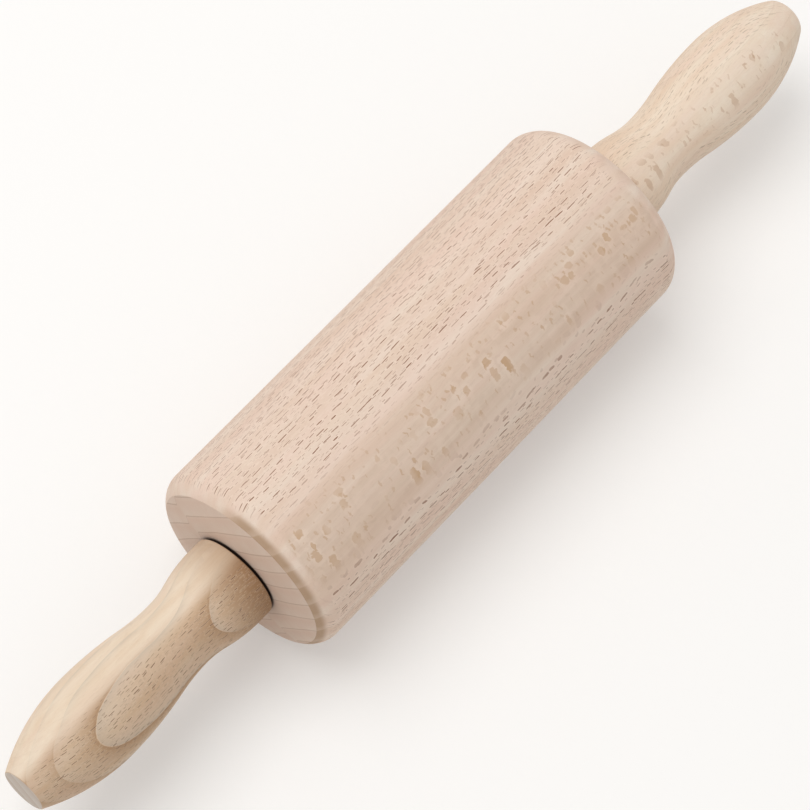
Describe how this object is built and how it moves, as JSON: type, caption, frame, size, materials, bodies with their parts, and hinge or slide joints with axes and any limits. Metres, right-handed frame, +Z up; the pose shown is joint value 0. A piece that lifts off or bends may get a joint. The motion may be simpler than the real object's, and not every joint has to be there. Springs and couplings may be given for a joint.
{
  "type": "rolling pin",
  "caption": "Small wooden rolling pin with a barrel that turns freely on a steel axle fixed in two turned handles.",
  "frame": {"origin": "on the flat line of contact under the middle of the barrel, at the bottom centre of the bounding box", "axes": "+X along the pin, from the handle named left to the handle named right; +Z up, with the barrel resting on Z = 0"},
  "size_m": [0.2372, 0.045, 0.045],
  "materials": {
    "barrel_beech": "fine sanded, unfinished beech",
    "handle_beech": "fine sanded, unfinished beech",
    "steel": "drawn bright steel",
    "nylon": "moulded natural nylon"
  },
  "bodies": {
    "barrel": {"barrel": "barrel_beech", "bush_left": "nylon", "bush_right": "nylon"},
    "handles": {"axle": "steel", "washer_left": "steel", "washer_right": "steel", "handle_left": "handle_beech", "handle_right": "handle_beech"}
  },
  "joints": [
    {"name": "barrel_spin", "type": "hinge", "parent": "barrel", "child": "handles", "pos_m": [0, 0, 0.02248], "axis": [1, 0, 0], "continuous": true}
  ]
}
